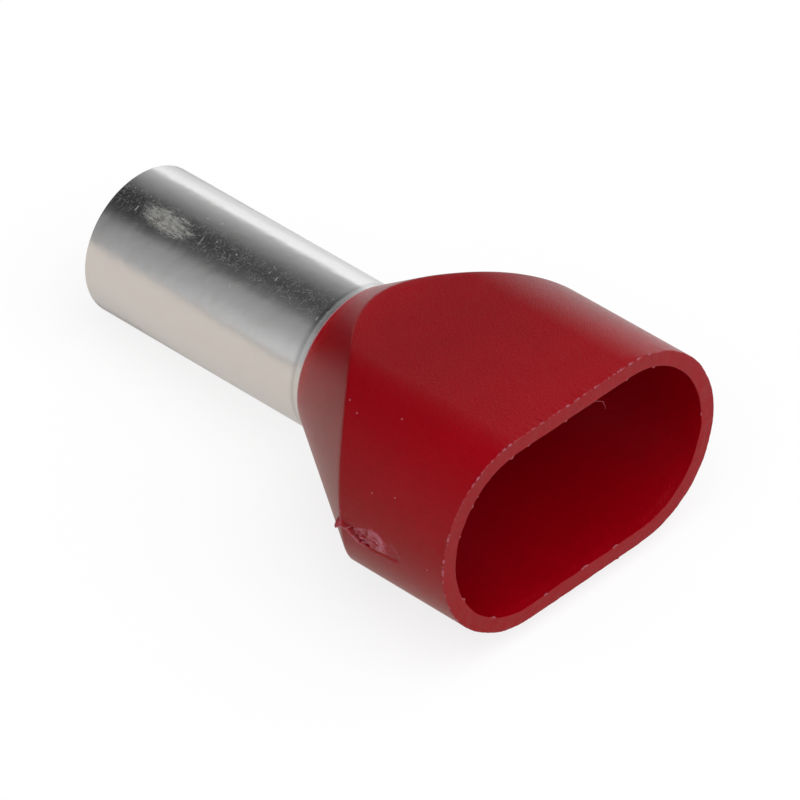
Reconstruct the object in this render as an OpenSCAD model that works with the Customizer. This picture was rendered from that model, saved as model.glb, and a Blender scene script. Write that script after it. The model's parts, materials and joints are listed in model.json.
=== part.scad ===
// Twin-entry insulated wire ferrule, in millimetres.
//
// A thin tinned copper sleeve takes the bared strands of two wires. A one-piece moulded
// plastic collar grips it: flat and wide at the mouth, where the two insulated wires go in
// side by side, and round at the nose, where the sleeve comes out.
//
// The pieces are drawn along +X in their own frame, with the sleeve's tip at x = 0, and
// then laid down the way the ferrule comes to rest: on the underside of its tip and on the
// first edge of the collar's lower flat, so that the mouth is raised a little.

/* [Sleeve] */
// Inside diameter of the straight sleeve
sleeve_bore_d = 6.5; // [5.5:0.1:6.8]
// Thickness of the copper sheet
sleeve_wall = 0.2; // [0.15:0.05:0.3]
// Length of bare sleeve between its tip and the collar's nose
sleeve_reach = 13.2; // [8:0.2:25]
// Bevel on the outer edge of the tip
tip_bevel = 0.05; // [0.02:0.01:0.1]

/* [Sleeve trumpet] */
// How far ahead of the nose the sleeve starts to open out
trumpet_lead = 0.8; // [0:0.1:2]
// Radius of the curve by which it opens out, on its outer face
trumpet_r = 6; // [4:0.5:9]
// Angle to the sleeve that the curve has reached at the inner end
trumpet_angle = 21; // [12:1:24]

/* [Collar] */
// Length from the nose to the mouth
collar_length = 13.1; // [10:0.1:20]
// Outside width of the mouth
mouth_w = 15.85; // [13:0.05:20]
// Outside height of the mouth
mouth_h = 9.42; // [9.2:0.02:11]
// Thickness of the collar's side wall
collar_wall = 0.74; // [0.5:0.02:0.8]
// How far each side leans in towards the nose, for release from the mould
draft_angle = 0.17; // [0:0.01:0.5]
// Thickness of the nose's lip round the sleeve
nose_lip = 0.1; // [0.05:0.05:0.3]
// Angle of the conical shoulder to the axis
shoulder_angle = 31.5; // [28:0.5:40]
// Angle of the funnel inside the shoulder to the axis
funnel_angle = 31.5; // [28:0.5:40]
// Gap between the sleeve and the seat that the collar grips it by
seat_gap = 0.01; // [0.01:0.01:0.03]

/* [Hidden] */
$fn = 128;
// How far a cut runs past the faces that it opens
over = 1;

// Sleeve
bore_r = sleeve_bore_d / 2;
sleeve_r = bore_r + sleeve_wall;
nose_x = sleeve_reach;
trumpet_x = nose_x - trumpet_lead;
// The trumpet's curve is a circle about this point, in [along the axis, out from it]
trumpet_centre = [trumpet_x, sleeve_r + trumpet_r];
// Direction in which the sheet points at its inner end
trumpet_way = [cos(trumpet_angle), sin(trumpet_angle)];

// A point of the trumpet: radius about its centre and angle turned from the straight sleeve
function trumpet_point(radius, angle) = trumpet_centre + radius * [sin(angle), -cos(angle)];

// Collar
mouth_x = nose_x + collar_length;
draft = tan(draft_angle);
shoulder_slope = tan(shoulder_angle);
funnel_slope = tan(funnel_angle);
// Radius of the sleeve's outer face where the nose ends
sleeve_r_at_nose = trumpet_centre.y - sqrt(pow(trumpet_r, 2) - pow(trumpet_lead, 2));
nose_r = sleeve_r_at_nose + seat_gap + nose_lip;
// The collar's seat ends at a ledge in front of the sleeve's inner edge, and the funnel
// starts from the ledge's inner corner, flush with the inside of the sleeve
ledge = trumpet_point(trumpet_r + sleeve_wall, trumpet_angle) + seat_gap * trumpet_way;

// Where the shoulder's cone meets the middle of the collar's flat sides: [x, half height]
shoulder_run = (mouth_h / 2 - draft * collar_length - nose_r) / (shoulder_slope - draft);
shoulder_start = [nose_x + shoulder_run, nose_r + shoulder_slope * shoulder_run];

// Resting place: the tip and the start of the lower flat touch the ground
rest_tilt = atan((shoulder_start.y - sleeve_r) / (shoulder_start.x - tip_bevel));
rest_height = sleeve_r * cos(rest_tilt) - tip_bevel * sin(rest_tilt);
// The ends of the laid-down ferrule, which put the origin under the middle of its length
rest_back = -(sleeve_r - tip_bevel) * sin(rest_tilt);
rest_front = mouth_x * cos(rest_tilt) + mouth_h / 2 * sin(rest_tilt);

// Turns an outline drawn as [along the axis, out from it] about the X axis
module turned() {
  rotate([0, 90, 0])
    rotate_extrude()
      mirror([1, -1, 0]) children();
}

// Lays a piece down as the ferrule rests, with the origin below its middle
module laid_down() {
  translate([-(rest_back + rest_front) / 2, 0, rest_height])
    rotate([0, -rest_tilt, 0]) children();
}

// A tapering block with round ends: width and height at x_far, leaning in towards x_near
module drafted_stadium(width, height, x_near, x_far) {
  length = x_far - x_near;
  r_far = height / 2;
  r_near = r_far - draft * length;
  end_y = (width - height) / 2;
  translate([x_near, 0, 0]) {
    for (side = [-1, 1])
      translate([0, side * end_y, 0])
        rotate([0, 90, 0]) cylinder(h = length, r1 = r_near, r2 = r_far);
    rotate([90, 0, 0])
      linear_extrude(2 * end_y, center = true)
        polygon([[0, -r_near], [length, -r_far], [length, r_far], [0, r_near]]);
  }
}

// Copper tube with its inner end opened out like a trumpet
module sleeve() {
  reach = 2 * trumpet_r;
  color("gainsboro")
    laid_down()
      turned() {
        polygon([
          [0, bore_r], [trumpet_x, bore_r], [trumpet_x, sleeve_r],
          [tip_bevel, sleeve_r], [0, sleeve_r - tip_bevel]
        ]);
        intersection() {
          translate(trumpet_centre)
            difference() {
              circle(trumpet_r + sleeve_wall);
              circle(trumpet_r);
            }
          polygon([trumpet_centre, trumpet_point(reach, 0), trumpet_point(reach, trumpet_angle)]);
        }
      }
}

// The space that the sleeve fills, from ahead of the nose to the ledge
module sleeve_seat() {
  seat_r = sleeve_r + seat_gap;
  turned() {
    translate([nose_x - trumpet_lead - over, 0]) square([over, seat_r]);
    difference() {
      polygon([
        [trumpet_x, 0], trumpet_centre, trumpet_centre + seat_gap * trumpet_way,
        ledge, [ledge.x, 0]
      ]);
      translate(trumpet_centre) circle(trumpet_r - seat_gap);
    }
  }
}

// The space for the two wires: the mouth, narrowing to the sleeve through a cone
module wire_space() {
  x_far = mouth_x + over;
  intersection() {
    turned()
      polygon([
        [ledge.x, 0], [x_far, 0],
        [x_far, ledge.y + funnel_slope * (x_far - ledge.x)], ledge
      ]);
    drafted_stadium(
      mouth_w - 2 * (collar_wall - draft * over), mouth_h - 2 * (collar_wall - draft * over),
      ledge.x - over, x_far
    );
  }
}

// Moulded collar: a cone round the sleeve, trimmed by the mouth's outline into the shoulder
module collar() {
  color("firebrick")
    laid_down()
      difference() {
        intersection() {
          drafted_stadium(mouth_w, mouth_h, nose_x, mouth_x);
          translate([nose_x, 0, 0])
            rotate([0, 90, 0])
              cylinder(h = collar_length, r1 = nose_r, r2 = nose_r + shoulder_slope * collar_length);
        }
        sleeve_seat();
        wire_space();
      }
}

sleeve();
collar();
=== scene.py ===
"""A twin-entry wire ferrule: a tinned copper sleeve pushed into a moulded red collar."""

import json
import math

import bmesh
import bpy
from mathutils import Matrix, Vector, noise

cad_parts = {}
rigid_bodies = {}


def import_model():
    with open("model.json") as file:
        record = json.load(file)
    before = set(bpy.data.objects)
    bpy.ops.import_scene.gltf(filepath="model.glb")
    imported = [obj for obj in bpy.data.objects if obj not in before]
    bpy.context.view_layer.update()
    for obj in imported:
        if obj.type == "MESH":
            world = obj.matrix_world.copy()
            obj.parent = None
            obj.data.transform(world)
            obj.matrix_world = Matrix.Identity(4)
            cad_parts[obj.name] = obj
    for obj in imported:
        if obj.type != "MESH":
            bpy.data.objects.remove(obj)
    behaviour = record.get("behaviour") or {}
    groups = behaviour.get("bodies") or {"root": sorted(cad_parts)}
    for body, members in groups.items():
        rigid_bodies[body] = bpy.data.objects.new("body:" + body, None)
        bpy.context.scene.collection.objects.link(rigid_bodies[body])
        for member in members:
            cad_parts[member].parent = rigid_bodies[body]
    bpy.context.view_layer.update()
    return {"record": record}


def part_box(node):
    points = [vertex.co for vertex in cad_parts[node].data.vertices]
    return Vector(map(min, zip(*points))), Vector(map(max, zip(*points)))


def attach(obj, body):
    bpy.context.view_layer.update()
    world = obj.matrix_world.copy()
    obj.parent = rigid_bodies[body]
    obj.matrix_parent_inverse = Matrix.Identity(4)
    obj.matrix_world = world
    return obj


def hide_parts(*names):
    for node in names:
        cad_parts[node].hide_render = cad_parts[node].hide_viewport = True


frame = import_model()

bl_info = {
    "name": "Wire ferrule",
    "version": (1, 0, 0),
    "blender": (4, 5, 0),
    "location": "3D View > Sidebar > Ferrule",
    "description": "Models a twin-entry wire ferrule around its fixed frame",
    "category": "Add Mesh",
}

MM = 0.001


# ---------------------------------------------------------------- the frame

def mount(name):
    """The frame's mount of that name: its place, its axis and its sizes."""
    return next(m for m in frame["record"]["mounts"] if m["name"] == name)


BORE = mount("sleeve_bore")
AXIS = Vector(BORE["axis"]).normalized()
TIP = Vector(BORE["pos_m"]) - AXIS * BORE["dims"]["length_mm"] * MM / 2
MOUTH = Vector(mount("wire_entry")["pos_m"])
LENGTH = (MOUTH - TIP).length
TILT = math.atan2(AXIS.z, AXIS.x)
COLLAR_LOW, COLLAR_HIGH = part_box("collar")
# The ferrule's own frame has its tip at the origin and its axis along X.
LAID_DOWN = Matrix.Translation(TIP) @ Matrix.Rotation(-TILT, 4, "Y")


# ---------------------------------------------------------------- sizes and colours

def length_of(label, about, default):
    """A length that a user may change, in metres."""
    return bpy.props.FloatProperty(name=label, description=about, default=default, min=0,
                                   precision=5, subtype="DISTANCE", unit="LENGTH")


def offset_of(label, about, default):
    """A place along an axis that a user may change, in metres, on either side of zero."""
    return bpy.props.FloatProperty(name=label, description=about, default=default,
                                   precision=5, subtype="DISTANCE", unit="LENGTH")


def angle_of(label, about, degrees):
    """An angle that a user may change."""
    return bpy.props.FloatProperty(name=label, description=about, default=math.radians(degrees),
                                   subtype="ANGLE", unit="ROTATION")


def number_of(label, about, default):
    """A plain number that a user may change."""
    return bpy.props.FloatProperty(name=label, description=about, default=default)


def colour_of(label, about, default):
    """A colour that a user may change."""
    return bpy.props.FloatVectorProperty(name=label, description=about, default=default,
                                         size=3, min=0, max=1, subtype="COLOR")


class SleeveSizes(bpy.types.PropertyGroup):
    """Sizes of the tinned copper sleeve."""

    outer_radius: length_of("Outer radius", "Outside of the tube",
                            mount("sleeve_outside")["dims"]["r_mm"] * MM)
    bore_radius: length_of("Bore radius", "Inside of the tube", BORE["dims"]["r_mm"] * MM)
    straight: length_of("Straight length", "Tip to the start of the trumpet",
                        BORE["dims"]["length_mm"] * MM)
    trumpet_radius: length_of("Trumpet radius", "Bend of the trumpet, along its outside", 6 * MM)
    trumpet_angle: angle_of("Trumpet angle", "How far the trumpet opens", 21)
    tip_rounding: length_of("Tip rounding", "Rounding of the cut end", 0.06 * MM)


class CollarSizes(bpy.types.PropertyGroup):
    """Sizes of the moulded collar."""

    mouth_width: length_of("Mouth width", "Across both round ends", COLLAR_HIGH.y - COLLAR_LOW.y)
    mouth_height: length_of(
        "Mouth height", "Across the flats",
        2 * (COLLAR_HIGH.z - MOUTH.z) / math.cos(TILT))
    nose_reach: length_of("Nose reach", "Tip of the sleeve to the nose of the collar", 13.2 * MM)
    wall: length_of("Wall", "Thickness of the moulding", 0.74 * MM)
    nose_lip: length_of("Nose lip", "Wall left round the sleeve at the nose", 0.1 * MM)
    seat_gap: length_of("Seat gap", "Clearance between the trumpet and its seat", 0.01 * MM)
    shoulder_angle: angle_of("Shoulder angle", "Slope of the cone outside", 31.5)
    funnel_angle: angle_of("Funnel angle", "Slope of the cone inside", 31.5)
    draft_angle: angle_of("Draft", "Taper that lets the moulding leave its tool", 0.17)
    edge_rounding: length_of("Edge rounding", "Rounding of the shoulder's edge", 0.1 * MM)
    rim_rounding: length_of("Rim rounding", "Rounding of the mouth's edges", 0.02 * MM)


class Finishes(bpy.types.PropertyGroup):
    """Colours of the two materials and of the stage."""

    red: colour_of("Red", "Pigment of the collar", (0.24, 0.0, 0.004))
    strained: colour_of("Strained red", "Collar where it was torn or burred", (0.43, 0.13, 0.175))
    # A pale pink line set in the colour along the nose's edge.
    edge: colour_of("Nose edge", "Thin plastic at the edge of the nose", (0.72, 0.36, 0.42))
    tin: colour_of("Tin", "Tin plating", (0.75, 0.75, 0.75))
    tarnish: colour_of("Tarnish", "Tin where it has yellowed or reddened a little", (0.74, 0.715, 0.7))
    flux: colour_of("Flux", "Smear of old flux on the tin", (0.33, 0.32, 0.25))
    # The floor's warm tone is seen only in reflections, on its near side, as part of the floor's painted
    # light.
    floor: colour_of("Floor", "Pale studio floor", (0.69, 0.63, 0.575))


class StageSettings(bpy.types.PropertyGroup):
    """Camera and light."""

    azimuth: angle_of("Azimuth", "Camera's place round the ferrule", 46.2)
    elevation: angle_of("Elevation", "Camera's height above the horizon", 41.8)
    roll: angle_of("Roll", "Camera's turn about its own line of sight", -1.1)
    distance: length_of("Distance", "Camera to the point that it looks at", 466 * MM)
    aim_along: offset_of("Aim along", "Where the camera looks, along the ferrule from its tip", 14.94 * MM)
    aim_aside: offset_of("Aim aside", "Where the camera looks, to the ferrule's far side", 0.58 * MM)
    aim_up: offset_of("Aim up", "Where the camera looks, above the ferrule's axis", -1.39 * MM)
    lens: number_of("Lens", "Focal length in millimetres", 499.5)


# ---------------------------------------------------------------- modelling helpers

def start_piece(name, primitive, **settings):
    """Adds a primitive with nothing else selected, and opens it in edit mode."""
    bpy.ops.object.select_all(action="DESELECT")
    primitive(**settings)
    piece = bpy.context.object
    piece.name = piece.data.name = name
    bpy.ops.object.transform_apply(location=True, rotation=True, scale=True)
    bpy.ops.object.mode_set(mode="EDIT")
    return piece


def pick(piece, kind, wanted):
    """Selects just the points, edges or faces that wanted() accepts."""
    bpy.ops.mesh.select_mode(type=kind)
    bpy.ops.mesh.select_all(action="DESELECT")
    mesh = bmesh.from_edit_mesh(piece.data)
    for item in {"VERT": mesh.verts, "EDGE": mesh.edges, "FACE": mesh.faces}[kind]:
        if wanted(item):
            item.select_set(True)
    mesh.select_flush_mode()
    bmesh.update_edit_mesh(piece.data)


def place_picked(piece, place):
    """Moves each selected point to where place() says."""
    mesh = bmesh.from_edit_mesh(piece.data)
    for point in mesh.verts:
        if point.select:
            point.co = place(point.co)
    bmesh.update_edit_mesh(piece.data)


def grow_ring(piece, place, steps=1, rounding=0.0):
    """Extrudes the selected loop of edges in equal steps to where place() says, and weighs its edges
    there for the rounding that the Bevel modifier gives them."""
    for left in range(steps, 0, -1):
        bpy.ops.mesh.extrude_region_move()
        place_picked(piece, lambda point: point.lerp(place(point), 1 / left))
        weigh_picked(piece, rounding if left == 1 else 0)


def weigh_picked(piece, weight):
    """Gives the selected edges a bevel weight."""
    mesh = bmesh.from_edit_mesh(piece.data)
    layers = mesh.edges.layers.float
    weights = layers.get("bevel_weight_edge") or layers.new("bevel_weight_edge")
    for edge in mesh.edges:
        if edge.select:
            edge[weights] = weight
    bmesh.update_edit_mesh(piece.data)


def close_piece(piece):
    """Merges doubles, turns the faces outwards and leaves edit mode."""
    bpy.ops.mesh.select_all(action="SELECT")
    bpy.ops.mesh.remove_doubles(threshold=0.0005 * MM)
    bpy.ops.mesh.normals_make_consistent(inside=False)
    bpy.ops.object.mode_set(mode="OBJECT")


def refine(piece, cuts, wanted):
    """Cuts each edge that wanted() accepts into equal parts."""
    bpy.ops.object.mode_set(mode="EDIT")
    pick(piece, "EDGE", wanted)
    bpy.ops.mesh.subdivide(number_cuts=cuts, quadcorner="FAN")
    bpy.ops.object.mode_set(mode="OBJECT")


def smooth(value, low, high):
    """0 below low, 1 above high and smooth between them."""
    share = max(0.0, min(1.0, (value - low) / (high - low)))
    return share * share * (3 - 2 * share)


def along(points, x):
    """Height at x of the line through these points."""
    for (x0, y0), (x1, y1) in zip(points, points[1:]):
        if x <= x1:
            return y0 + (y1 - y0) * max(0.0, x - x0) / (x1 - x0)
    return points[-1][1]


def off_line(points, x, y):
    """Distance from a place to the line through these points."""
    place = Vector((x, y))
    best = math.inf
    for first, last in zip(points, points[1:]):
        start, run = Vector(first), Vector(last) - Vector(first)
        share = max(0.0, min(1.0, (place - start).dot(run) / run.length_squared))
        best = min(best, (place - start - run * share).length)
    return best


def lay_down(piece):
    """Takes a piece from the ferrule's own frame to its place on the floor."""
    bpy.ops.object.select_all(action="DESELECT")
    piece.select_set(True)
    bpy.context.view_layer.objects.active = piece
    piece.matrix_world = LAID_DOWN
    bpy.ops.object.transform_apply(location=True, rotation=True, scale=True)


def apply_modifier(piece, kind, **settings):
    """Adds a modifier with those settings and applies it."""
    modifier = piece.modifiers.new(kind.title(), kind)
    for key, value in settings.items():
        setattr(modifier, key, value)
    bpy.ops.object.select_all(action="DESELECT")
    piece.select_set(True)
    bpy.context.view_layer.objects.active = piece
    bpy.ops.object.modifier_apply(modifier=modifier.name)


# ---------------------------------------------------------------- shader helpers

class Wire:
    """One output socket in a node tree. Sums and products of wires add Math nodes."""

    def __init__(self, graph, socket):
        self.graph = graph
        self.socket = socket

    def maths(self, operation, *values):
        """A Math node on these values."""
        return self.graph.node("ShaderNodeMath", {"operation": operation}, dict(enumerate(values)))

    def __add__(self, other):
        return self.maths("ADD", self, other)

    def __radd__(self, other):
        return self.maths("ADD", other, self)

    def __sub__(self, other):
        return self.maths("SUBTRACT", self, other)

    def __rsub__(self, other):
        return self.maths("SUBTRACT", other, self)

    def __mul__(self, other):
        return self.maths("MULTIPLY", self, other)

    def __rmul__(self, other):
        return self.maths("MULTIPLY", other, self)

    def __pow__(self, other):
        return self.maths("POWER", self, other)

    def __abs__(self):
        return self.maths("ABSOLUTE", self)


class Graph:
    """The node tree of one material or of the world."""

    def __init__(self, owner):
        owner.use_nodes = True
        self.tree = owner.node_tree
        self.tree.nodes.clear()

    def node(self, kind, settings=None, sockets=None, output=0):
        """Adds one node: its settings first, then the values or wires of its sockets."""
        made = self.tree.nodes.new(kind)
        for key, value in (settings or {}).items():
            if key == "stops":
                self.set_stops(made.color_ramp, value)
            else:
                setattr(made, key, value)
        for key, value in (sockets or {}).items():
            if isinstance(value, Wire):
                self.tree.links.new(value.socket, made.inputs[key])
            else:
                made.inputs[key].default_value = value
        if not made.outputs:
            return made
        return Wire(self, made.outputs[output])

    @staticmethod
    def set_stops(ramp, stops):
        """Gives a ramp these stops, each a place and a grey or a colour."""
        while len(ramp.elements) > 1:
            ramp.elements.remove(ramp.elements[-1])
        for count, (place, value) in enumerate(stops):
            element = ramp.elements[0] if count == 0 else ramp.elements.new(place)
            element.position = place
            element.color = (*value, 1) if isinstance(value, tuple) else (value, value, value, 1)

    def ramp(self, value, *stops):
        """A colour ramp over value."""
        return self.node("ShaderNodeValToRGB", {"stops": stops}, {0: value})

    def mix(self, factor, first, second):
        """A colour between first and second."""
        first, second = ((*c, 1) if isinstance(c, tuple) else c for c in (first, second))
        return self.node("ShaderNodeMix", {"data_type": "RGBA"},
                         {0: factor, 6: first, 7: second}, output=2)

    def step(self, value, low, high):
        """0 below low, 1 above high and smooth between them."""
        return self.node("ShaderNodeMapRange", {"interpolation_type": "SMOOTHSTEP"},
                         {"Value": value, "From Min": low, "From Max": high})

    def split(self, vector, output):
        """The part of a vector along X, Y or Z, as 0, 1 or 2."""
        return self.node("ShaderNodeSeparateXYZ", None, {0: vector}, output)

    def spot(self, place, centre, reach, turn=0.0):
        """1 in the middle of an oval with this centre and reach, 0 outside it."""
        local = self.node("ShaderNodeMapping", {"vector_type": "TEXTURE"}, {
            "Vector": place, "Location": centre, "Rotation": (0, 0, math.radians(turn)), "Scale": reach})
        away = self.node("ShaderNodeVectorMath", {"operation": "LENGTH"}, {0: local}, output=1)
        return 1 - self.step(away, 0.3, 1.0)

    def streaks(self, place, turn, length, width, least):
        """Thin strokes in one direction, where noise stretched along it is above least."""
        local = self.node("ShaderNodeMapping", {"vector_type": "TEXTURE"}, {
            "Vector": place, "Location": (turn, 0, 0), "Rotation": (0, 0, math.radians(turn)),
            "Scale": (length, width, 1)})
        return self.step(self.noise(local, 1.0, 1.0), least, least + 0.06)

    def noise(self, vector, scale, detail=2.0, roughness=0.5):
        """Smooth noise over a vector, from 0 to 1."""
        return self.node("ShaderNodeTexNoise", None,
                         {"Vector": vector, "Scale": scale, "Detail": detail, "Roughness": roughness})


# ---------------------------------------------------------------- materials

def ferrule_place(graph):
    """Where a point of a piece is in the ferrule's own frame, in millimetres."""
    back = LAID_DOWN.inverted()
    return graph.node("ShaderNodeMapping", {"vector_type": "POINT"}, {
        "Vector": graph.node("ShaderNodeTexCoord", output=3),
        "Location": back.translation / MM,
        "Rotation": back.to_euler(),
        "Scale": (1 / MM,) * 3,
    })


TUBE_RADIUS = mount("sleeve_outside")["dims"]["r_mm"]
# Places along the ferrule in millimetres, where the looks of the sleeve and of the collar change, painted
# light and shade among them.
BAND_START, RING_START, RING_FULL = 12.5, 12.78, 12.9
NOSE, NOSE_GLOW_END, CONE_GLOW_START, CONE_GLOW_END = 13.2, 14.4, 14.0, 17.5
NOSE_EDGE_START, NOSE_EDGE_END = 13.25, 13.36
RIM_START, MOUTH_X = 26.22, 26.3
# Marks on the tube: place along it, degrees round it, length, width and, where it leans, its lean.
FLUX_SMEAR = (3.1, 110.5, 2.4, 0.9, 5)
FLUX_SPOTS = ((3.2, 107, 0.6, 0.14, 10), (3.85, 103, 0.5, 0.1, 5), (4.4, 110.5, 0.55, 0.14, -8))
SCUFFS = ((1.4, 113, 0.07, 0.2), (4.54, 92, 0.1, 0.05), (5.26, 89.5, 0.08, 0.08),
          (5.88, 105, 0.07, 0.07), (7.14, 106, 0.08, 0.07), (9.11, 105, 0.05, 0.13),
          (9.61, 107, 0.06, 0.16, -10), (12.62, 117, 0.07, 0.14, -10), (5.2, 110, 0.04, 0.4, -8),
          (7.87, 128, 0.03, 0.22, -20))
# Lean, length and width of each layer of fine scratches.
SCRATCHES = ((-20, 0.45, 0.055), (25, 0.3, 0.05), (70, 0.35, 0.055), (110, 0.6, 0.05))
# Degrees round the tube of the middle of its scratched band.
SCRATCHED = 107
# Dust on the collar, in the ferrule's own frame, and the radius of each speck.
SPECKS = ((18.64, -5.38, 4.15), (19.33, -5.67, 4.0), (21.36, -5.01, 4.34), (21.8, -7.4, 2.13),
          (23.02, -7.24, 2.42), (25.37, -7.92, 0.27))
SPECK_RADIUS = 0.07


def tinned_copper(colours):
    """Drawn copper tube with a dull coat of tin, scratched along its top and with a smear of old flux, a
    dull ring ahead of the nose and painted shade on the band before it.
    """
    material = bpy.data.materials.new("tinned_copper")
    graph = Graph(material)
    place = ferrule_place(graph)
    x, y, z = (graph.split(place, part) for part in range(3))
    turn = z.maths("ARCTAN2", z, y)
    outside = graph.step((y * y + z * z) ** 0.5, TUBE_RADIUS - 0.15, TUBE_RADIUS - 0.05)
    # The outside unrolled: along the tube, and round it from the +Y side.
    flat = graph.node("ShaderNodeCombineXYZ", None, {0: x, 1: turn * TUBE_RADIUS, 2: 0.0})

    def mark(along_tube, degrees, length, width, lean=0.0):
        centre = (along_tube, math.radians(degrees) * TUBE_RADIUS, 0)
        return graph.spot(flat, centre, (length, width, 1), lean)

    smear = mark(*FLUX_SMEAR)
    patchy = graph.noise(graph.node("ShaderNodeMapping", None, {
        "Vector": flat, "Rotation": (0, 0, math.radians(-15)), "Scale": (1.0, 3.0, 1)}), 2.6, 5.0, 0.72)
    flux = graph.step(smear * 0.5 + patchy, 0.7, 1.45) * outside
    for spot in FLUX_SPOTS:
        flux = flux.maths("MAXIMUM", flux, mark(*spot) * graph.step(patchy, 0.3, 0.8) * 0.8)

    band = 1 - graph.step(abs(turn - math.radians(SCRATCHED)), 0.1, 0.32)
    least = 0.7 - 0.07 * band
    marks = 0.0
    for lean, length, width in SCRATCHES:
        marks = marks + graph.streaks(flat, lean, length, width, least)
    scuffs = 0.0
    for spot in SCUFFS:
        scuffs = scuffs + mark(*spot)

    # A ring ahead of the nose is a little dull, and the band on its side towards the tip is darkened with
    # painted shade.
    dull_ring = graph.step(x, RING_START, RING_FULL)
    painted_shade_band = graph.step(x, BAND_START, RING_START) * (1 - dull_ring)
    dull = outside * (marks * (0.1 + 0.3 * band) + scuffs + 0.7 * dull_ring)
    dull = dull.maths("MINIMUM", dull, 1.0)
    relief = marks * 0.25 + graph.noise(place, 14.0, 3.0) * 0.5 + graph.noise(flat, 0.7, 2.0) * 6
    bump = graph.node("ShaderNodeBump", None,
                      {"Strength": 0.35, "Distance": 0.01 * MM, "Height": relief})
    stained = graph.mix(graph.step(graph.noise(flat, 0.9, 3.0), 0.45, 0.75) * 0.5, tuple(colours.tin),
                        tuple(colours.tarnish))
    bare = graph.mix(dull * 0.6, stained, (0.62, 0.63, 0.62))
    # Painted shade: the band towards the tip is darkened towards near black.
    bare = graph.mix(0.25 * painted_shade_band, bare, (0.1, 0.1, 0.11))
    skin = graph.node("ShaderNodeBsdfPrincipled", None, {
        "Base Color": graph.mix(flux, bare, tuple(colours.flux)),
        "Metallic": 1 - 0.9 * flux.maths("MAXIMUM", flux, dull * 0.3),
        "Roughness": 0.13 + 0.08 * graph.noise(flat, 1.3, 2.0) + 0.1 * dull + 0.45 * flux,
        "Normal": bump,
    })
    graph.node("ShaderNodeOutputMaterial", None, {"Surface": skin})
    return material


def red_plastic(colours):
    """Matte moulded polypropylene, pale where it is strained, with painted light in its red: brighter at
    the nose, on the cone, towards the mouth where light would come through the thin wall and inside the
    funnel, and less so towards the mouth on the near side and on the rim.
    """
    material = bpy.data.materials.new("red_plastic")
    graph = Graph(material)
    place = ferrule_place(graph)
    x, y = graph.split(place, 0), graph.split(place, 1)
    grain = graph.noise(place, 9.0, 3.0)
    fine = graph.noise(place, 22.0, 2.0)
    cloudy = graph.noise(place, 0.8, 3.0)
    # Painted light, not pigment: the red is brightened at the nose, on the cone and towards the mouth,
    # where light would come through the thin wall. The brightening towards the mouth is weaker on the near
    # side and on the rim.
    on_rim = graph.step(x, RIM_START, MOUTH_X)
    at_nose = 1 - graph.step(x, NOSE, NOSE_GLOW_END)
    shaded = 1 - 0.6 * graph.step(-1 * y, 3.5, 7.0)
    thin = 0.3 * graph.step(x, 18.0, 27.5) * shaded
    on_cone = 1 - graph.step(x, CONE_GLOW_START, CONE_GLOW_END)
    outside = 1 + thin * (1 - 0.75 * on_rim) + 0.5 * at_nose + 0.25 * on_cone
    # Painted light inside: the red is brighter deep in the funnel and less so towards the mouth.
    inside = 1.52 - 0.44 * graph.step(x, 17.5, 24.5)
    within = graph.node("ShaderNodeAttribute", {"attribute_name": "inside"}, output=2)
    # The painted light outside and inside, with random tone from the fine and cloudy noise.
    painted_light_and_tone = outside + within * (inside - outside) + 0.35 * (fine - 0.5) + 0.15 * (cloudy - 0.5)
    body = graph.node("ShaderNodeVectorMath", {"operation": "SCALE"}, {0: tuple(colours.red), 3: painted_light_and_tone})
    pale = graph.node("ShaderNodeAttribute", {"attribute_name": "pale"}, output=2)
    for speck in SPECKS:
        pale = pale + 0.5 * graph.spot(place, speck, (SPECK_RADIUS,) * 3)
    colour = graph.mix(pale, body, tuple(colours.strained))
    # A thin pale pink line is set in the colour along the nose's edge, 13.25 to 13.36 mm from the tip.
    at_edge = 1 - graph.step(x, NOSE_EDGE_START, NOSE_EDGE_END)
    colour = graph.mix(0.85 * at_edge, colour, tuple(colours.edge))
    relief = 0.8 * grain + 2.2 * fine
    bump = graph.node("ShaderNodeBump", None,
                      {"Strength": 0.45, "Distance": 0.02 * MM, "Height": relief})
    skin = graph.node("ShaderNodeBsdfPrincipled", None, {
        "Base Color": colour,
        "Roughness": 0.18 + 0.04 * grain + 0.04 * cloudy + 0.3 * pale,
        "Specular IOR Level": 0.19,
        "Normal": bump,
    })
    graph.node("ShaderNodeOutputMaterial", None, {"Surface": skin})
    return material


# ---------------------------------------------------------------- the sleeve

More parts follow.
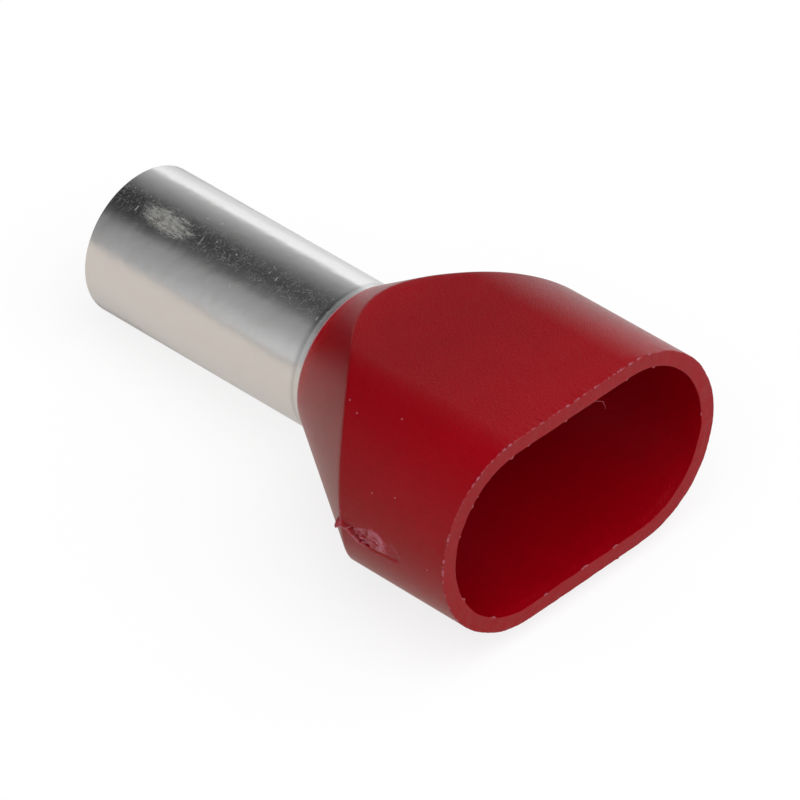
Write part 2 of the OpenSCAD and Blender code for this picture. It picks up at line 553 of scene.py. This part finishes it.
class FERRULE_OT_sleeve(bpy.types.Operator):
    """Model the tinned copper sleeve with its trumpet end"""

    bl_idname = "ferrule.sleeve"
    bl_label = "Sleeve"

    SIDES = 256
    TRUMPET_STEPS = 12

    def execute(self, context):
        sizes = context.scene.ferrule_sleeve
        piece = start_piece("sleeve_tube", bpy.ops.mesh.primitive_circle_add, vertices=self.SIDES,
                            radius=sizes.outer_radius, fill_type="NOTHING",
                            rotation=(0, math.pi / 2, 0))
        bpy.ops.mesh.select_all(action="SELECT")
        grow_ring(piece, lambda p: Vector((sizes.straight, p.y, p.z)))
        centre = sizes.outer_radius + sizes.trumpet_radius
        for count in range(1, self.TRUMPET_STEPS + 1):
            angle = sizes.trumpet_angle * count / self.TRUMPET_STEPS
            x = sizes.straight + sizes.trumpet_radius * math.sin(angle)
            radius = centre - sizes.trumpet_radius * math.cos(angle)
            grow_ring(piece, lambda p: Vector((x, *(p.yz.normalized() * radius))))
        close_piece(piece)
        wall = sizes.outer_radius - sizes.bore_radius
        apply_modifier(piece, "SOLIDIFY", thickness=wall, offset=1)
        apply_modifier(piece, "BEVEL", width=sizes.tip_rounding, segments=3, limit_method="ANGLE",
                       angle_limit=math.radians(60))
        lay_down(piece)
        bpy.ops.object.shade_smooth_by_angle(angle=math.radians(35))
        piece.data.materials.append(tinned_copper(context.scene.ferrule_finishes))
        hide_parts("sleeve")
        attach(piece, "root")
        return {"FINISHED"}


# ---------------------------------------------------------------- the collar

class Outline:
    """The collar's section: a stadium that shrinks along the draft, and the cones and the seat that
    meet it."""

    def __init__(self, sizes, sleeve):
        self.sizes = sizes
        self.sleeve = sleeve
        self.round_end = sizes.mouth_height / 2
        self.end_y = sizes.mouth_width / 2 - self.round_end
        self.nose_radius = self.seat_radius(sizes.nose_reach) + sizes.nose_lip
        # The trumpet's end is square to its wall, and its seat ends one gap further on.
        bend, angle, gap = sleeve.trumpet_radius, sleeve.trumpet_angle, sizes.seat_gap
        inner_bend = bend + sleeve.outer_radius - sleeve.bore_radius
        self.seat_end = sleeve.straight + bend * math.sin(angle) + gap * math.cos(angle)
        self.ledge_x = sleeve.straight + inner_bend * math.sin(angle) + gap * math.cos(angle)
        self.ledge_radius = (sleeve.outer_radius + bend - inner_bend * math.cos(angle)
                             + gap * math.sin(angle))

    def seat_radius(self, x):
        """Radius of the seat round the trumpet at x."""
        bend = self.sleeve.trumpet_radius
        run = x - self.sleeve.straight
        return (self.sleeve.outer_radius + bend
                - math.sqrt((bend - self.sizes.seat_gap) ** 2 - run ** 2))

    def end_radius(self, x, inset):
        """Radius of the round ends at x, that much further in."""
        return self.round_end - math.tan(self.sizes.draft_angle) * (LENGTH - x) - inset

    def at(self, point, x, inset=0.0):
        """The outline's point at x that is straight in line with point."""
        core = Vector((max(-self.end_y, min(self.end_y, point.y)), 0))
        outwards = (point.yz - core).normalized()
        return Vector((x, *(core + outwards * self.end_radius(x, inset))))

    def towards(self, point, x, inset=0.0):
        """The outline's point at x that is in the same direction from the axis as point."""
        way = point.yz.normalized()
        radius = self.end_radius(x, inset)
        reach = radius / abs(way.y)
        if reach * abs(way.x) > self.end_y:
            reach = self.end_y * abs(way.x) + math.sqrt(radius ** 2 - (self.end_y * way.y) ** 2)
        return Vector((x, *(way * reach)))

    @staticmethod
    def on_cone(find, start_x, start_radius, angle):
        """Where the outline that find() gives for each x meets the cone that starts there."""
        x = start_x
        for _ in range(8):
            x = start_x + (find(x).yz.length - start_radius) / math.tan(angle)
        return find(x)

    def shoulder(self, point):
        """Where the side meets the cone outside."""
        return self.on_cone(lambda x: self.at(point, x),
                            self.sizes.nose_reach, self.nose_radius, self.sizes.shoulder_angle)

    def funnel(self, point):
        """Where the funnel meets the side inside."""
        return self.on_cone(lambda x: self.towards(point, x, self.sizes.wall),
                            self.ledge_x, self.ledge_radius, self.sizes.funnel_angle)


class Rim:
    """What the mouth's rim has on its even outline: waves, burrs and chips. Places run round the rim
    in millimetres, from the +Y end over the top."""

    WAVE, FINE = 0.035, 0.012
    DEPTH = 0.6
    THIN_FLATS = 0.05
    # Start, end and height of each burr on the outer edge.
    BURRS = ((6.1, 6.3, 0.03), (6.7, 6.85, 0.03), (7.1, 7.5, 0.05), (7.7, 8.1, 0.04), (8.4, 8.6, 0.06),
             (9.2, 9.35, 0.03), (10.2, 10.5, 0.03), (10.8, 10.95, 0.07), (14.0, 14.85, 0.07),
             (15.25, 15.4, 0.07), (15.85, 16.85, 0.08), (18.7, 19.5, 0.06), (20.0, 20.8, 0.04),
             (33.6, 33.75, 0.05))
    # Place, half width and height of each chip that stands in from the inner edge.
    CHIPS = ((5.65, 0.1, 0.06), (7.5, 0.08, 0.04), (11.05, 0.08, 0.05), (13.2, 0.08, 0.03),
             (14.25, 0.15, 0.07), (16.85, 0.06, 0.04), (17.4, 0.12, 0.05), (19.0, 0.06, 0.05),
             (23.0, 0.15, 0.08), (26.0, 0.15, 0.07), (29.5, 0.1, 0.05), (31.8, 0.2, 0.1),
             (33.6, 0.15, 0.08), (42.1, 0.06, 0.04))

    def __init__(self, sizes, outline):
        self.wall = sizes.wall / MM
        self.rounding = sizes.rim_rounding / MM
        self.radius = outline.round_end / MM
        self.flat = 2 * outline.end_y / MM

    def place_of(self, point):
        """Where round the rim a point lies."""
        quarter = math.pi / 2 * self.radius
        if abs(point.y) < self.flat / 2:
            if point.z > 0:
                return quarter + self.flat / 2 - point.y
            return 3 * quarter + 1.5 * self.flat + point.y
        turn = math.atan2(point.z, point.y - math.copysign(self.flat / 2, point.y)) % math.tau
        past = 0 if turn < math.pi / 2 else self.flat if turn < 3 * math.pi / 2 else 2 * self.flat
        return turn * self.radius + past

    def shift(self, point, inset):
        """How far a point moves outwards and forwards, and how pale it is, from how far in it lies."""
        place = self.place_of(point)
        near = smooth(point.x, LENGTH / MM - self.DEPTH, LENGTH / MM)
        inner = smooth(inset, self.wall * 0.3, self.wall * 0.9)
        turned = Vector((point.y, point.z, 3.0 * inner))
        wave = self.WAVE * noise.noise(turned * 0.9) + self.FINE * noise.noise(turned * 6)
        thin = self.THIN_FLATS * inner * smooth(abs(point.z), self.radius * 0.5, self.radius * 0.8)
        outwards = near * (wave + thin)
        forwards = 0.012 * near * noise.noise(Vector((point.y, point.z, 9.0)) * 2.5)
        pale = 0.0
        on_edge = point.x > LENGTH / MM - 1.5 * self.rounding
        if on_edge and inset < 1.5 * self.rounding:
            pale = max(0.0, 0.12 + 0.5 * noise.noise(Vector((place * 4, 7, 0))))
            for start, end, height in self.BURRS:
                if start < place < end:
                    ragged = 0.7 + 0.5 * noise.noise(Vector((place * 9, 0, 0)))
                    share = (place - start) / (end - start)
                    rise = height * ragged * math.sin(math.pi * share) ** 0.5
                    outwards += 0.7 * rise
                    forwards += 0.6 * rise
                    pale = max(0.0, min(1.0, 0.35 + 1.8 * noise.noise(Vector((place * 6, 2, 0)))))
        if on_edge and inset > self.wall - 1.5 * self.rounding:
            for middle, half, height in self.CHIPS:
                if abs(place - middle) < half:
                    rise = height * math.cos(math.pi / 2 * (place - middle) / half) ** 2
                    outwards -= rise
                    forwards += 0.3 * rise
                    pale = 0.5
        return outwards, forwards, pale


class Gate:
    """The torn scar that the moulding's gate left on one round end, with the flash and the ridge beside it.
    Places are millimetres behind the mouth and above the parting plane."""

    REACH = (2.3, 6.7, -0.75, 0.95)
    TOP = ((2.65, -0.15), (3.0, 0.28), (3.4, 0.42), (4.15, 0.58), (4.9, 0.4), (5.5, 0.1))
    FOOT = ((2.65, -0.2), (3.15, -0.28), (4.3, -0.38), (5.15, -0.42), (5.5, 0.0))
    # Half width, height, paleness and the places each stroke runs through, in the order in which
    # they lie on each other.
    STROKES = (
        (0.45, -0.02, 0.05, ((3.05, 0.15), (2.8, -0.1))),
        (0.3, 0.01, 0.6, ((4.2, 0.45), (3.75, 0.35), (3.62, 0.0), (3.85, -0.15))),
        (0.13, 0.03, 0.95, ((4.3, 0.4), (3.95, 0.48), (3.68, 0.38), (3.58, 0.15), (3.72, -0.1))),
        (0.17, -0.03, 0.05, ((4.08, 0.02), (3.98, -0.02))),
        (0.07, -0.02, 0.35, ((4.27, 0.15), (4.1, 0.32), (3.95, 0.3))),
        (0.06, 0.02, 0.8, ((4.2, 0.12), (4.0, 0.15), (3.85, 0.1))),
        (0.13, -0.07, 0.1, ((4.85, -0.02), (4.6, 0.12), (4.5, 0.32))),
        (0.07, 0.03, 0.7, ((5.32, 0.1), (4.98, 0.2), (4.72, 0.26))),
        (0.05, 0.03, 0.8, ((5.1, 0.26), (4.85, 0.34), (4.56, 0.47))),
        (0.05, 0.02, 0.45, ((5.2, -0.05), (4.95, 0.03), (4.7, 0.05))),
        (0.05, 0.02, 0.6, ((5.0, -0.2), (4.75, -0.12), (4.5, -0.1))),
        (0.06, 0.04, 0.9, ((4.46, 0.4), (4.39, 0.2), (4.52, -0.08))),
        (0.15, -0.2, 0.0, ((5.4, 0.1), (5.46, -0.06), (5.3, -0.22), (5.08, -0.34))),
        (0.08, -0.14, 0.0, ((5.1, -0.36), (4.9, -0.3), (4.65, -0.22))),
        (0.07, -0.12, 0.0, ((4.66, -0.37), (4.42, -0.33))),
        (0.05, 0.03, 0.7, ((4.62, -0.29), (4.4, -0.24), (4.25, -0.32))),
        (0.05, 0.03, 0.6, ((5.02, -0.5), (4.85, -0.46), (4.68, -0.47))),
        (0.1, -0.035, 0.0, ((4.35, -0.42), (4.0, -0.42), (3.5, -0.33), (3.0, -0.29), (2.7, -0.2))),
        (0.05, 0.015, 0.15, ((3.05, 0.47), (2.75, 0.32), (2.58, 0.1), (2.6, -0.15))),
        (0.1, -0.06, 0.0, ((5.98, 0.22), (5.85, 0.1), (5.6, 0.16))),
        (0.05, 0.04, 0.75, ((6.5, -0.08), (6.03, -0.13), (5.66, -0.13), (5.55, -0.25), (5.33, -0.38),
                            (5.1, -0.48))),
        (0.05, 0.04, 0.6, ((5.75, -0.08), (5.58, 0.05), (5.38, 0.16))),
        (0.05, 0.02, 0.6, ((6.06, 0.7), (6.05, 0.3), (6.03, -0.1))),
    )

    def covers(self, point):
        """True for a point in the region that the marks reach."""
        back = LENGTH / MM - point.x
        near, far, low, high = self.REACH
        return point.y < 0 and near < back < far and low < point.z < high

    def relief(self, point):
        """Height over the even surface, and how pale the strained plastic is there."""
        back, up = LENGTH / MM - point.x, point.z
        edge = min(along(self.TOP, back) - up, up - along(self.FOOT, back))
        inside = smooth(edge, 0, 0.08) if self.TOP[0][0] < back < self.TOP[-1][0] else 0.0
        fibre = noise.noise(Vector((2.2 * back + 3 * up, 12 * up + 4 * back, 4.0)))
        lump = noise.noise(Vector((5 * back, 8 * up, 8.0)))
        fine = noise.noise(Vector((17 * back, 24 * up, 2.0)))
        torn = smooth(back, 4.3, 4.5)
        height = inside * (-0.035 * torn + (0.05 * torn + 0.015) * fibre + 0.015 * lump)
        pale = inside * (0.05 * torn + 0.3 * smooth(back, 2.9, 3.7) + torn * fibre)
        for half, rise, whiteness, places in self.STROKES:
            ragged = off_line(places, back, up) * (1 + 0.25 * lump) + 0.02 * fine
            share = 1 - smooth(ragged, half * 0.2, half)
            height += share * rise
            pale += share * (whiteness - pale)
        pale += (0.9 * lump + 0.6 * fine) * inside * smooth(pale, 0.0, 0.5)
        flash = (smooth(up, -0.16, -0.12) * (1 - smooth(up, -0.05, 0.25))
                 * (1 - smooth(abs(back - 6.2), 0.08, 0.16)))
        return height + 0.24 * flash, max(0.0, min(1.0, pale + 0.35 * flash))


class FERRULE_OT_collar(bpy.types.Operator):
    """Model the moulded collar: mouth, shoulder, nose, seat and funnel"""

    bl_idname = "ferrule.collar"
    bl_label = "Collar"

    ROUND_SIDES = 340
    RIM_DEPTH = 0.6 * MM
    WISP_RADIUS = 0.013 * MM
    # Hairs of plastic across the mouth's plane, in millimetres along Y and Z.
    WISPS = (((1.2, 4.06), (1.4, 3.92), (1.6, 3.78), (1.78, 3.64), (1.88, 3.52)),
             ((1.68, 3.72), (1.78, 3.5), (1.86, 3.36), (1.88, 3.2)))

    def execute(self, context):
        sizes = context.scene.ferrule_collar
        outline = Outline(sizes, context.scene.ferrule_sleeve)
        piece = self.mouth_ring(sizes, outline)
        self.outside(piece, sizes, outline)
        self.seat(piece, sizes, outline)
        self.inside(piece, sizes, outline)
        close_piece(piece)
        apply_modifier(piece, "BEVEL", width=sizes.edge_rounding, segments=3, limit_method="WEIGHT",
                       use_clamp_overlap=False)
        self.marks(piece, sizes, outline)
        for places in self.WISPS:
            self.wisp(piece, places)
        lay_down(piece)
        bpy.ops.object.shade_smooth_by_angle(angle=math.radians(40))
        piece.data.materials.append(red_plastic(context.scene.ferrule_finishes))
        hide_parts("collar")
        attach(piece, "root")
        return {"FINISHED"}

    def marks(self, piece, sizes, outline):
        """The rim's waves and burrs, the gate's scar, and the attributes that say where the plastic is
        pale and which points are inside."""
        rim, gate = Rim(sizes, outline), Gate()

        def slant(edge):
            first, last = (v.co for v in edge.verts)
            return abs(first.x - last.x) / (first - last).length

        at_mouth = LENGTH - 0.04 * MM
        refine(piece, 1, lambda e: slant(e) < 0.2 and all(v.co.x > at_mouth for v in e.verts))
        refine(piece, 7, lambda e: slant(e) > 0.5 and e.calc_length() > 0.15 * MM
               and all(gate.covers(v.co / MM) for v in e.verts))
        refine(piece, 2, lambda e: slant(e) < 0.2 and all(gate.covers(v.co / MM) for v in e.verts))
        pale = piece.data.attributes.new("pale", "FLOAT", "POINT")
        inner = piece.data.attributes.new("inside", "FLOAT", "POINT")
        turned = [point.normal.copy() for point in piece.data.vertices]
        for point, normal in zip(piece.data.vertices, turned):
            place = point.co / MM
            core = Vector((max(-outline.end_y, min(outline.end_y, point.co.y)), 0))
            outwards = (point.co.yz - core).normalized()
            out = forwards = whiteness = 0.0
            inner.data[point.index].value = float(normal.yz.dot(outwards) < -0.3)
            if point.co.x > LENGTH - self.RIM_DEPTH:
                inset = (outline.end_radius(point.co.x, 0) - (point.co.yz - core).length) / MM
                out, forwards, whiteness = rim.shift(place, inset)
            elif gate.covers(place):
                out, whiteness = gate.relief(place)
            point.co += Vector((forwards, *(outwards * out))) * MM
            pale.data[point.index].value = whiteness

    def wisp(self, piece, places):
        """Extrudes one hair through these places."""
        known = len(piece.data.vertices)
        points = [Vector((LENGTH / MM - 0.03 * count, *place)) * MM for count, place in enumerate(places)]
        bpy.ops.object.mode_set(mode="EDIT")
        bpy.ops.mesh.select_all(action="DESELECT")
        turned = (points[1] - points[0]).to_track_quat("Z", "Y").to_euler()
        bpy.ops.mesh.primitive_circle_add(vertices=5, radius=self.WISP_RADIUS, fill_type="NGON",
                                          location=points[0], rotation=turned)
        for start, end in zip(points, points[1:]):
            bpy.ops.mesh.extrude_region_move(TRANSFORM_OT_translate={"value": end - start})
            bpy.ops.transform.resize(value=(0.85, 0.85, 0.85))
        bpy.ops.mesh.select_linked()
        bpy.ops.mesh.normals_make_consistent(inside=False)
        bpy.ops.object.mode_set(mode="OBJECT")
        for value in piece.data.attributes["pale"].data[known:]:
            value.value = 0.35

    def outside(self, piece, sizes, outline):
        """From the mouth's outer edge along the sides, over the shoulder and down the cone to the nose."""
        nose_x = sizes.nose_reach
        fine = sizes.rim_rounding / sizes.edge_rounding
        weigh_picked(piece, fine)
        grow_ring(piece, lambda p: outline.at(p, LENGTH - self.RIM_DEPTH), steps=8)
        grow_ring(piece, outline.shoulder, steps=20, rounding=1.0)
        grow_ring(piece, lambda p: Vector((nose_x, *(p.yz.normalized() * outline.nose_radius))),
                  steps=14, rounding=2.5 * fine)

    def seat(self, piece, sizes, outline):
        """From the nose back along the seat that holds the trumpet, and over the ledge at its end."""
        steps = 6
        for count in range(steps + 1):
            x = sizes.nose_reach + (outline.seat_end - sizes.nose_reach) * count / steps
            radius = outline.seat_radius(x)
            grow_ring(piece, lambda p: Vector((x, *(p.yz.normalized() * radius))))
        grow_ring(piece, lambda p: Vector((outline.ledge_x, *(p.yz.normalized() * outline.ledge_radius))))

    def inside(self, piece, sizes, outline):
        """From the ledge along the funnel to the mouth's inner edge, and over the rim."""
        fine = sizes.rim_rounding / sizes.edge_rounding
        grow_ring(piece, outline.funnel, steps=10, rounding=1.0)
        grow_ring(piece, lambda p: outline.at(p, LENGTH - self.RIM_DEPTH, sizes.wall), steps=12)
        grow_ring(piece, lambda p: outline.at(p, LENGTH, sizes.wall), steps=8, rounding=fine)
        on_rim = 0.01 * MM
        pick(piece, "EDGE", lambda e: e.is_boundary and all(v.co.x > LENGTH - on_rim for v in e.verts))
        bpy.ops.mesh.bridge_edge_loops(number_cuts=7, interpolation="LINEAR")

    def mouth_ring(self, sizes, outline):
        """The mouth's outer edge: a circle pulled apart into a stadium."""
        half_step = math.pi / self.ROUND_SIDES
        piece = start_piece("collar_moulding", bpy.ops.mesh.primitive_circle_add, vertices=self.ROUND_SIDES,
                            radius=outline.round_end, fill_type="NOTHING",
                            location=(LENGTH, 0, 0), rotation=(half_step, math.pi / 2, 0))
        for side in (1, -1):
            pick(piece, "VERT", lambda v: v.co.y * side > 0)
            bpy.ops.transform.translate(value=(0, side * outline.end_y, 0))
        side_length = 2 * outline.round_end * math.sin(half_step)
        pick(piece, "EDGE", lambda e: e.calc_length() > outline.end_y)
        bpy.ops.mesh.subdivide(number_cuts=round(2 * outline.end_y / side_length))
        bpy.ops.mesh.select_all(action="SELECT")
        place_picked(piece, lambda p: outline.at(p, LENGTH))
        return piece


# ---------------------------------------------------------------- the stage

class FERRULE_OT_stage(bpy.types.Operator):
    """Set up the floor, the light and the camera"""

    bl_idname = "ferrule.stage"
    bl_label = "Stage"

    def execute(self, context):
        self.floor(context)
        self.sky(context)
        self.camera(context)
        return {"FINISHED"}

    def floor(self, context):
        """A wide pale floor that shows white to the camera and keeps the shadow. To reflections it shows
        painted light and shade, warm and darker further out on the near side, brighter further out on the
        far side and dark behind the tip, and it glows with that painted light.
        """
        bpy.ops.object.select_all(action="DESELECT")
        bpy.ops.mesh.primitive_plane_add(size=6.0, location=(0, 0, 0))
        floor = context.object
        floor.name = floor.data.name = "studio_floor"
        material = bpy.data.materials.new("floor_paper")
        graph = Graph(material)
        seen = graph.node("ShaderNodeLightPath", output=0)
        mirrored = graph.node("ShaderNodeLightPath", output=3)
        place = graph.node("ShaderNodeTexCoord", output=3)
        reach = graph.split(place, 0) + 3 * abs(graph.split(place, 1))
        aside = graph.split(place, 1)
        # Painted light and shade seen only in reflections: brighter further out on the far side, darker
        # further out on the near side, and dark behind the tip.
        pale = graph.mix(graph.step(aside, 6 * MM, 45 * MM), (0.68, 0.68, 0.68), (0.95, 0.95, 0.96))
        warm = graph.mix(graph.step(aside, -90 * MM, -12 * MM), (0.5, 0.47, 0.45),
                         tuple(context.scene.ferrule_finishes.floor))
        painted_floor_light = graph.mix(graph.step(aside, -8 * MM, 6 * MM), warm, pale)
        lit = graph.mix(graph.step(reach, -42 * MM, 2 * MM), (0.02, 0.02, 0.02), painted_floor_light)
        paper = graph.node("ShaderNodeBsdfDiffuse", None,
                           {"Color": graph.mix(seen, lit, (1.0, 1.0, 1.0))})
        # In reflections the floor also glows with this painted light.
        shining = graph.node("ShaderNodeVectorMath", {"operation": "SCALE"}, {0: lit, 3: 1.2})
        glow = graph.node("ShaderNodeEmission", None, {
            "Color": graph.mix(seen, shining, (1.0, 1.0, 1.0)), "Strength": 1.0})
        graph.node("ShaderNodeOutputMaterial", None, {"Surface": graph.node(
            "ShaderNodeMixShader", None, {0: seen * 0.8 + mirrored * 0.5, 1: paper, 2: glow})})
        floor.data.materials.append(material)

    def sky(self, context):
        """A far softbox, a dimmer near one and a key light above the mouth, with dark between them;
        white to the camera."""
        world = bpy.data.worlds.new("studio")
        context.scene.world = world
        graph = Graph(world)
        way = graph.node("ShaderNodeTexCoord", output=0)
        aside, height = graph.split(way, 1), graph.split(way, 2)
        lean = 0.3 - 0.46 * height
        far = graph.ramp(aside + lean, (0.0, 0.07), (0.27, 0.1), (0.42, 0.17), (0.6, 0.27), (0.785, 0.42),
                         (0.93, 0.57), (1.0, 1.15))
        near = graph.ramp(-1 * aside, (0.0, 0.085), (0.2, 0.14), (0.3, 0.21), (0.38, 0.31), (0.52, 0.38),
                          (0.63, 0.44), (0.72, 0.58), (0.78, 0.7), (1.0, 0.75))
        sides = graph.mix(graph.step(aside, -0.01, 0.01), near, far)
        # Behind the tip the room is dim, which darkens the flare of the tube and the top of the cone.
        behind = graph.step(-1 * graph.split(way, 0), 0.68, 0.85) * (1 - graph.step(abs(aside), 0.2, 0.45))
        dimmed = (1 - 0.55 * behind) * (1 - 0.35 * graph.step(-1 * graph.split(way, 0), 0.75, 0.95))
        sides = graph.node("ShaderNodeVectorMath", {"operation": "SCALE"}, {0: sides, 3: dimmed})
        light = graph.mix(self.glow(graph, way, (0.45, -0.1, 0.88), 0.65), sides, (2.8, 2.8, 2.8))
        light = graph.mix(self.glow(graph, way, (1.0, 0.0, 0.15), 0.6), light, (1.3, 1.3, 1.3))
        seen = graph.node("ShaderNodeLightPath", output=0)
        back = graph.node("ShaderNodeBackground", None,
                          {"Color": graph.mix(seen, light, (1.0, 1.0, 1.0)), "Strength": 1.0})
        graph.node("ShaderNodeOutputWorld", None, {"Surface": back})

    @staticmethod
    def glow(graph, way, towards, spread):
        """1 in one direction, fading to 0 where the cosine to it falls to spread."""
        cosine = graph.node("ShaderNodeVectorMath", {"operation": "DOT_PRODUCT"},
                            {0: way, 1: Vector(towards).normalized()}, output=1)
        return graph.step(cosine, spread, 1.0)

    def camera(self, context):
        """A long lens, looking down on the ferrule from the mouth's side."""
        stage = context.scene.ferrule_stage
        azimuth, elevation = stage.azimuth, stage.elevation
        back = Vector((math.sin(azimuth) * math.cos(elevation), -math.cos(azimuth) * math.cos(elevation),
                       math.sin(elevation)))
        turn = back.to_track_quat("Z", "Y").to_matrix() @ Matrix.Rotation(stage.roll, 3, "Z")
        aim = LAID_DOWN @ Vector((stage.aim_along, stage.aim_aside, stage.aim_up))
        bpy.ops.object.select_all(action="DESELECT")
        bpy.ops.object.camera_add(location=aim + back * stage.distance, rotation=turn.to_euler())
        camera = context.object
        camera.name = "studio_camera"
        camera.data.lens = stage.lens
        camera.data.clip_start = 0.01
        camera.data.clip_end = 20
        context.scene.camera = camera
        context.scene.view_settings.view_transform = "Standard"


# ---------------------------------------------------------------- the panel

PIECES = (FERRULE_OT_sleeve, FERRULE_OT_collar, FERRULE_OT_stage)
SETTINGS = {
    "ferrule_sleeve": SleeveSizes,
    "ferrule_collar": CollarSizes,
    "ferrule_finishes": Finishes,
    "ferrule_stage": StageSettings,
}


class FERRULE_PT_panel(bpy.types.Panel):
    """Lists the ferrule's sizes, colours and pieces"""

    bl_idname = "FERRULE_PT_panel"
    bl_label = "Wire ferrule"
    bl_space_type = "VIEW_3D"
    bl_region_type = "UI"
    bl_category = "Ferrule"

    def draw(self, context):
        for name, group in SETTINGS.items():
            box = self.layout.box()
            box.label(text=group.__doc__)
            for key in group.__annotations__:
                box.prop(getattr(context.scene, name), key)
        for piece in PIECES:
            self.layout.operator(piece.bl_idname)


def register():
    """Adds the settings, the operators and the panel to Blender."""
    for group in (*SETTINGS.values(), *PIECES, FERRULE_PT_panel):
        bpy.utils.register_class(group)
    for name, group in SETTINGS.items():
        setattr(bpy.types.Scene, name, bpy.props.PointerProperty(type=group))


def unregister():
    """Takes them away again."""
    for name in SETTINGS:
        delattr(bpy.types.Scene, name)
    for group in (FERRULE_PT_panel, *PIECES, *SETTINGS.values()):
        bpy.utils.unregister_class(group)


def main():
    """Models every piece and sets the stage."""
    register()
    bpy.ops.ferrule.sleeve()
    bpy.ops.ferrule.collar()
    bpy.ops.ferrule.stage()


if __name__ == "__main__":
    main()
